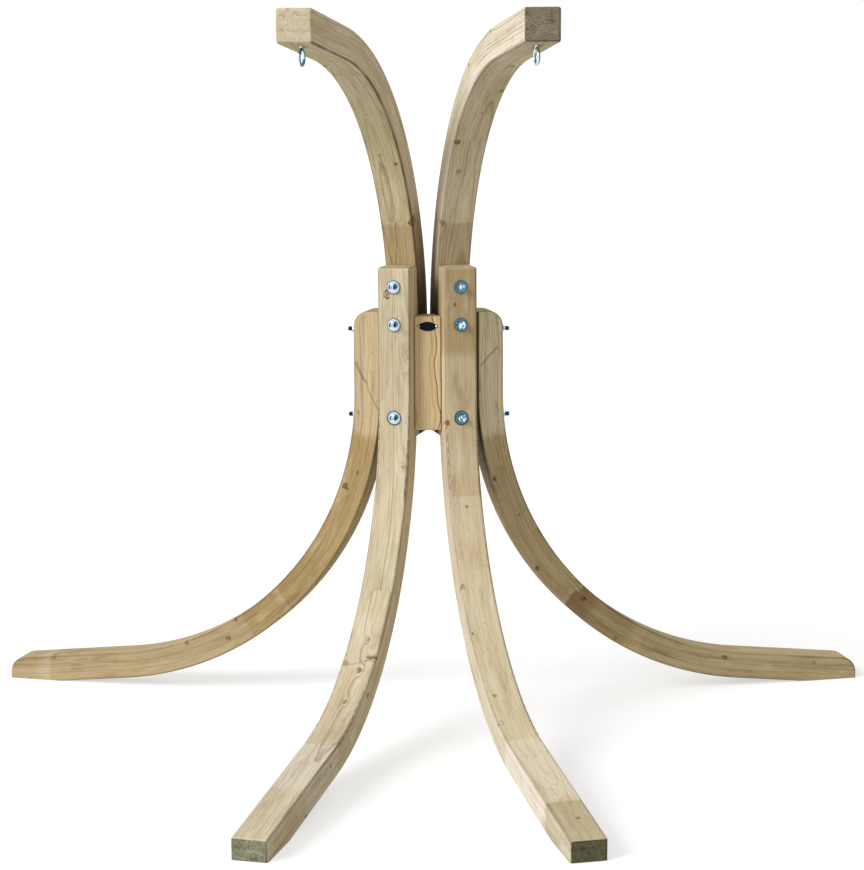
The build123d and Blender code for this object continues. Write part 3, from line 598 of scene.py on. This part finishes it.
# Side, kind and look of each beam
BEAM_LOOKS = {
    "left_front_leg": (LEFT, FRONT_LEG, timber(
        joints=(0.58, 1.30), contrast=0.62, flat_tone=(1.10, 1.06, 0.96, 1.0), drift=0.030,
        far_end=colour(176, 188, 181),
        pith=-0.030, taper=0.014, arris=0.5, ring=0.0046, fibres=0.4, mottling=0.4,
        end_speckle=0.9, end_rim=0.85, splits=(
            split((-0.126, -0.012), (-0.030, -0.030), 0.004, strength=0.3),
            split((0.836, 0.036), (0.800, -0.040), 0.003, strength=0.25, width=0.003),
        ),
        zones=((0.44, 0.66, colour(200, 190, 156), 0.5), (1.20, 1.46, colour(240, 232, 218), 0.5)),
        knots=(
            knot(-0.262, 0.018, 0.0085, heart=0.6, bark=0.8),
            knot(-0.106, -0.044, 0.012, heart=0.0, bark=0.3),
            knot(0.214, -0.030, 0.005, heart=0.4, bark=0.4),
            knot(0.742, -0.008, 0.0050, heart=0.6), knot(0.850, -0.010, 0.0065, heart=0.8),
            knot(0.826, 0.034, 0.008, heart=0.5, bark=0.3), knot(0.978, -0.004, 0.0055),
            knot(0.802, 0.036, 0.004, "flat", -1, 0.9, 0.9),
            knot(0.918, 0.014, 0.006, "flat", -1, 0.9, 0.9),
            knot(1.258, 0.010, 0.004, "flat", -1, 0.9, 0.9),
            knot(1.462, -0.032, 0.006, "flat", -1, 0.9, 0.9),
        ),
    )),
    "right_front_leg": (RIGHT, FRONT_LEG, timber(
        pale=colour(226, 210, 184), warm=colour(206, 180, 140), greening=0.2, contrast=0.30,
        joints=(0.30, 1.534), far_end=colour(128, 132, 122), flat_tone=(1.02, 1.05, 1.10, 1.0),
        front_tone=(1.01, 0.995, 0.92, 1.0), drift=0.034, taper=0.016, arris=0.6, mottling=0.45,
        end_speckle=0.9, end_rim=0.85,
        zones=(
            (-0.40, -0.10, colour(170, 142, 90), 0.60), (-0.10, 0.15, colour(204, 182, 140), 0.20),
            (0.52, 1.16, colour(222, 212, 184), 0.55), (1.16, 1.516, colour(236, 226, 208), 0.7),
            (1.534, 1.90, colour(182, 172, 142), 0.6),
        ),
        knots=(
            knot(-0.234, -0.016, 0.003, heart=0.9, bark=0.9),
            knot(0.090, -0.038, 0.0065, heart=0.9, bark=0.5),
            knot(0.330, 0.000, 0.0035), knot(0.566, -0.040, 0.006, heart=0.5, bark=0.5),
            knot(0.718, -0.038, 0.0035, heart=0.9, bark=0.9), knot(0.950, -0.026, 0.005, bark=0.9),
            knot(1.070, -0.038, 0.007, heart=0.1, bark=0.4), knot(1.486, -0.006, 0.007, heart=0.0),
            knot(1.626, 0.006, 0.005, heart=0.7, bark=0.8),
        ),
    )),
    "left_back_leg": (LEFT, BACK_LEG, timber(
        pale=colour(188, 163, 116), warm=colour(168, 138, 88), line=colour(120, 92, 52),
        green=colour(186, 172, 130), greening=0.3, staining=0.6, joints=(0.36, 0.98), contrast=0.45,
        bleached=colour(212, 192, 152), mottling=0.5, arris=0.6,
        splits=(
            split((-0.086, 0.032), (-0.024, 0.000), 0.003, "flat", 0.5, 0.004),
            split((-0.030, 0.004), (0.050, -0.036), 0.004, "flat", 0.35, 0.003),
        ),
        # Painted shade in the slot behind the front leg.
        grime=(("deep", -0.0365, -0.0320, 0.10, 0.34, 0.7),),
        zones=(
            (-0.40, 0.12, colour(215, 197, 160), 0.85), (0.664, 0.674, colour(226, 212, 184), 0.5),
            (0.80, 1.70, colour(216, 202, 168), 0.30), (1.440, 1.470, colour(226, 216, 194), 0.35),
        ),
        knots=(
            knot(0.276, 0.022, 0.006, "flat", 1, 0.9, 1.0),
            knot(0.282, 0.014, 0.0035, "flat", 1, 0.9, 1.0),
            knot(0.228, 0.000, 0.004, "flat", 1, 0.7, 0.8),
            knot(0.872, -0.002, 0.006, "flat", 1, 0.8, 0.6),
            knot(0.824, 0.034, 0.005, "flat", 1, 0.9, 0.9),
            knot(0.996, 0.032, 0.005, "flat", 1, 0.7, 0.7),
            knot(1.424, 0.036, 0.005, "flat", 1, 0.5, 0.5),
        ),
    )),
    "right_back_leg": (RIGHT, BACK_LEG, timber(
        pale=colour(222, 200, 154), warm=colour(194, 164, 112), line=colour(120, 92, 52),
        green=colour(198, 184, 138), staining=0.6, joints=(0.42, 1.02), contrast=0.42,
        bleached=colour(222, 206, 170), mottling=0.5, arris=0.6,
        splits=(
            split((-0.072, -0.026), (-0.126, 0.024), 0.003, "flat", 0.45, 0.003),
            split((-0.172, -0.016), (-0.140, -0.012), 0.002, "flat", 0.35),
        ),
        # Painted shade in the slot behind the front leg.
        grime=(("deep", -0.0340, -0.0270, 0.10, 0.34, 0.95),),
        zones=(
            # The first zone lightens the upright part by the hub: painted light against the front leg's
            # cast shadow.
            (-0.40, 0.12, colour(255, 242, 202), 0.9), (0.636, 0.646, colour(222, 208, 180), 0.5),
            (0.650, 0.720, colour(116, 84, 46), 0.5),
            (0.650, 0.860, colour(150, 120, 78), 0.4), (0.900, 1.70, colour(184, 168, 130), 0.5),
        ),
        knots=(
            knot(0.240, -0.022, 0.0045, "flat", 1, 0.9, 1.0),
            knot(0.360, 0.006, 0.0035, "flat", 1, 0.5, 0.5),
            knot(0.520, -0.028, 0.0045, "flat", 1, 0.8, 0.8),
            knot(0.676, 0.010, 0.006, "flat", 1, 1.0, 1.0),
            knot(0.824, -0.026, 0.005, "flat", 1, 0.5, 0.5),
            knot(1.156, 0.020, 0.006, "flat", 1, 0.8, 0.7),
            knot(1.432, 0.020, 0.005, "flat", 1, 0.5, 0.4),
        ),
    )),
    "left_arm": (LEFT, ARM, timber(
        green=colour(196, 188, 146), greening=0.8, joints=(0.352, 0.98), ring=0.0064,
        far_end=(1.0, 0.965, 0.98, 1.0), arris=0.9, mottling=0.35, fibres=0.35, end_rim=0.35,
        contrast=0.55, end_rings=0.18, taper=0.015,
        zones=((-0.40, 0.352, colour(160, 138, 98), 0.70),),
        front_tone=(1.16, 1.13, 1.02, 1.0), flat_tone=(1.10, 1.05, 1.02, 1.0), drift=0.035,
        # Painted shade on the inner side by the slit between the arms.
        grime=(("wide", -0.0440, -0.0320, 0.02, 0.42, 0.8),),
        splits=(
            split((0.590, 0.012), (0.350, 0.005), 0.008), split((0.356, 0.004), (0.200, 0.018), 0.003),
            split((0.370, 0.046), (0.190, 0.024), 0.003),
            split((0.577, 0.032), (0.591, -0.004), 0.0, "bent", 0.3),
            split((1.116, 0.044), (1.130, -0.044), 0.004, strength=0.3),
        ),
        knots=(
            knot(0.756, 0.010, 0.0035, heart=0.2, bark=0.8),
            knot(0.552, -0.028, 0.004, heart=0.9, bark=0.9),
            knot(0.584, 0.010, 0.003, heart=0.5, bark=0.5),
            knot(0.352, -0.044, 0.010, heart=0.8, bark=0.9), knot(1.072, 0.034, 0.006, heart=0.9),
        ),
    )),
    "right_arm": (RIGHT, ARM, timber(
        green=colour(196, 188, 146), greening=0.7, joints=(0.348, 0.64), ring=0.0064,
        far_end=colour(192, 190, 192), end_rim=1.0, end_speckle=0.7, mottling=0.35, fibres=0.35,
        arris=0.5, contrast=0.55, end_rings=0.5, taper=0.015,
        zones=((-0.40, 0.348, colour(164, 144, 106), 0.6),),
        front_tone=(1.10, 1.08, 1.0, 1.0), flat_tone=(1.20, 1.23, 1.40, 1.0), drift=0.035,
        # Painted shade on the inner side by the slit between the arms.
        grime=(("wide", -0.0440, -0.0360, 0.02, 0.32, 0.9),),
        knots=(
            knot(1.060, 0.020, 0.005, heart=0.8), knot(0.876, 0.034, 0.006, heart=0.4),
            knot(0.760, 0.008, 0.0035, heart=0.9), knot(0.636, -0.036, 0.007, heart=0.9, bark=0.8),
            knot(0.524, -0.018, 0.008, heart=0.5, bark=0.2), knot(0.348, -0.040, 0.006, heart=0.8),
            knot(0.888, -0.026, 0.0045, "flat", -1, 0.9, 1.0),
            knot(1.116, -0.034, 0.0045, "flat", -1, 0.9, 1.0),
        ),
    )),
}
for seed, (node, (side, beam, beam_look)) in enumerate(BEAM_LOOKS.items()):
    dress(node, spruce(node + "_spruce", side, beam, seed + 1.0, beam_look))

block_look = timber(
    pale=colour(228, 204, 158), line=colour(112, 72, 34), warm=colour(208, 172, 118),
    contrast=0.76, ring=0.0078, fibres=0.35,
    knots=(knot(0.918, 0.019, 0.0026, side=-1, heart=0.9, bark=0.9),),
)
packer_wood = board("packer_spruce", 2.0, COMMON)
dress("hub_block", board("block_spruce", 5.0, block_look))
for packer in ("front_packer", "side_packer"):
    dress("left_" + packer, packer_wood)
    dress("right_" + packer, packer_wood)

# Painted reflections: the pale colours stand for bright surroundings mirrored on the left, the navy,
# teal and dark colours for darker surroundings on the right and the dark reflections in the nuts.
PALE_ZINC, NAVY_ZINC, DARK_ZINC = colour(232, 242, 249), colour(58, 80, 106), colour(26, 38, 54)
TEAL_ZINC = colour(76, 122, 142)
ZINC_LOOKS = {
    "left_front_washers": zinc("left_washer_zinc", colour(200, 224, 238), colour(44, 84, 120), rim=LEFT),
    "right_front_washers": zinc("right_washer_zinc", TEAL_ZINC, colour(44, 82, 102), rim=RIGHT),
    "left_front_nuts": zinc("left_nut_zinc", PALE_ZINC, DARK_ZINC, glint=LEFT),
    "left_front_bolts": zinc("left_tail_zinc", PALE_ZINC, DARK_ZINC, glint=LEFT),
    "left_side_bolts": zinc("left_side_tail_zinc", DARK_ZINC, NAVY_ZINC),
    "right_side_bolts": zinc("right_side_tail_zinc", colour(20, 62, 88), NAVY_ZINC),
    "left": zinc("left_zinc", PALE_ZINC, NAVY_ZINC, patches=0.6),
    "right": zinc("right_zinc", colour(242, 249, 252), TEAL_ZINC, patches=0.95),
    "eye_bolt": zinc("eye_bolt_zinc", colour(226, 240, 248), colour(48, 104, 146), stripes=0.95),
}
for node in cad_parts:
    if "eye_bolt" in node:
        dress(node, ZINC_LOOKS["eye_bolt"])
    elif any(word in node for word in ("bolt", "washer", "nut", "screw", "pins")):
        side = "right" if node.startswith("right") else "left"
        dress(node, ZINC_LOOKS.get(node, ZINC_LOOKS[side]))
dress("name_plate", enamel())


# ---------------------------------------------------------------- studio
FAR = 200.0  # radius of the floor
FLOOR_GAP = 0.0006  # the floor lies this far under the soles


def seen_directly(m):
    """1 for rays from the camera and for what metal and glass show, else 0."""
    rays = m.node("ShaderNodeLightPath")
    mirrored = m.larger(rays.outputs["Is Glossy Ray"], rays.outputs["Is Transmission Ray"])
    return m.larger(rays.outputs["Is Camera Ray"], mirrored)


def floor_material():
    """Pale floor that looks white where it is lit and keeps the object's shadow."""
    m = Material("pale_floor")
    m.finish((0.55, 0.55, 0.55, 1.0), roughness=0.9, specular=0.0)
    glow = m.node("ShaderNodeEmission")
    glow.inputs["Strength"].default_value = 0.60
    both = m.node("ShaderNodeAddShader")
    m.feed(both.inputs[0], m.shader.outputs[0])
    m.feed(both.inputs[1], glow.outputs[0])
    seen = m.node("ShaderNodeMixShader")
    m.feed(seen.inputs[0], seen_directly(m))
    m.feed(seen.inputs[1], m.shader.outputs[0])
    m.feed(seen.inputs[2], both.outputs[0])
    m.feed(m.tree.nodes["Material Output"].inputs["Surface"], seen.outputs[0])
    return m.made


def floor():
    """Level ground just under the soles."""
    bpy.ops.mesh.primitive_circle_add(
        vertices=96, radius=FAR, fill_type="NGON", location=(0, 0, -FLOOR_GAP)
    )
    made = bpy.context.object
    made.name = "studio_floor"
    made.data.materials.append(floor_material())


def sky():
    """White to look at, and an even soft light on the object."""
    world = bpy.data.worlds.new("studio_sky")
    bpy.context.scene.world = world
    world.use_nodes = True
    m = Nodes(world.node_tree)
    light = m.tree.nodes["Background"]
    light.inputs["Color"].default_value = (1.0, 0.985, 0.96, 1.0)
    light.inputs["Strength"].default_value = 0.44
    shown = m.node("ShaderNodeBackground")
    shown.inputs["Color"].default_value = (1.0, 1.0, 1.0, 1.0)
    shown.inputs["Strength"].default_value = 1.0
    mix = m.node("ShaderNodeMixShader")
    m.feed(mix.inputs[0], seen_directly(m))
    m.feed(mix.inputs[1], light.outputs[0])
    m.feed(mix.inputs[2], shown.outputs[0])
    m.feed(m.tree.nodes["World Output"].inputs["Surface"], mix.outputs[0])


def add_to_scene(name, data):
    made = bpy.data.objects.new(name, data)
    bpy.context.scene.collection.objects.link(made)
    return made


def soft_sun(name, azimuth, elevation, softness, level):
    """An even light from afar. level is the brightness of a white face turned to it."""
    lamp = bpy.data.lights.new(name, "SUN")
    lamp.energy = level * pi
    lamp.angle = softness
    back = Vector(
        (sin(azimuth) * cos(elevation), -cos(azimuth) * cos(elevation), sin(elevation))
    )
    made = add_to_scene(name, lamp)
    made.rotation_euler = back.to_track_quat("Z", "Y").to_euler()


def camera():
    """The photograph's own standpoint, found from the stand's proportions."""
    data = bpy.data.cameras.new("photo_camera")
    data.lens = 101.26
    data.sensor_width = 36.0
    made = add_to_scene("photo_camera", data)
    place = Matrix.Translation((0.14186, HUB_Y - 6.69196, 1.91655))
    yaw = Matrix.Rotation(0.02007, 4, "Z")
    pitch = Matrix.Rotation(pi / 2 - 0.17252, 4, "X")
    roll = Matrix.Rotation(-0.00524, 4, "Z")
    made.matrix_world = place @ yaw @ pitch @ roll
    bpy.context.scene.camera = made


floor()
sky()
soft_sun("key_light", radians(-56), radians(32), radians(32), 0.86)
camera()
bpy.context.scene.view_settings.view_transform = "Standard"
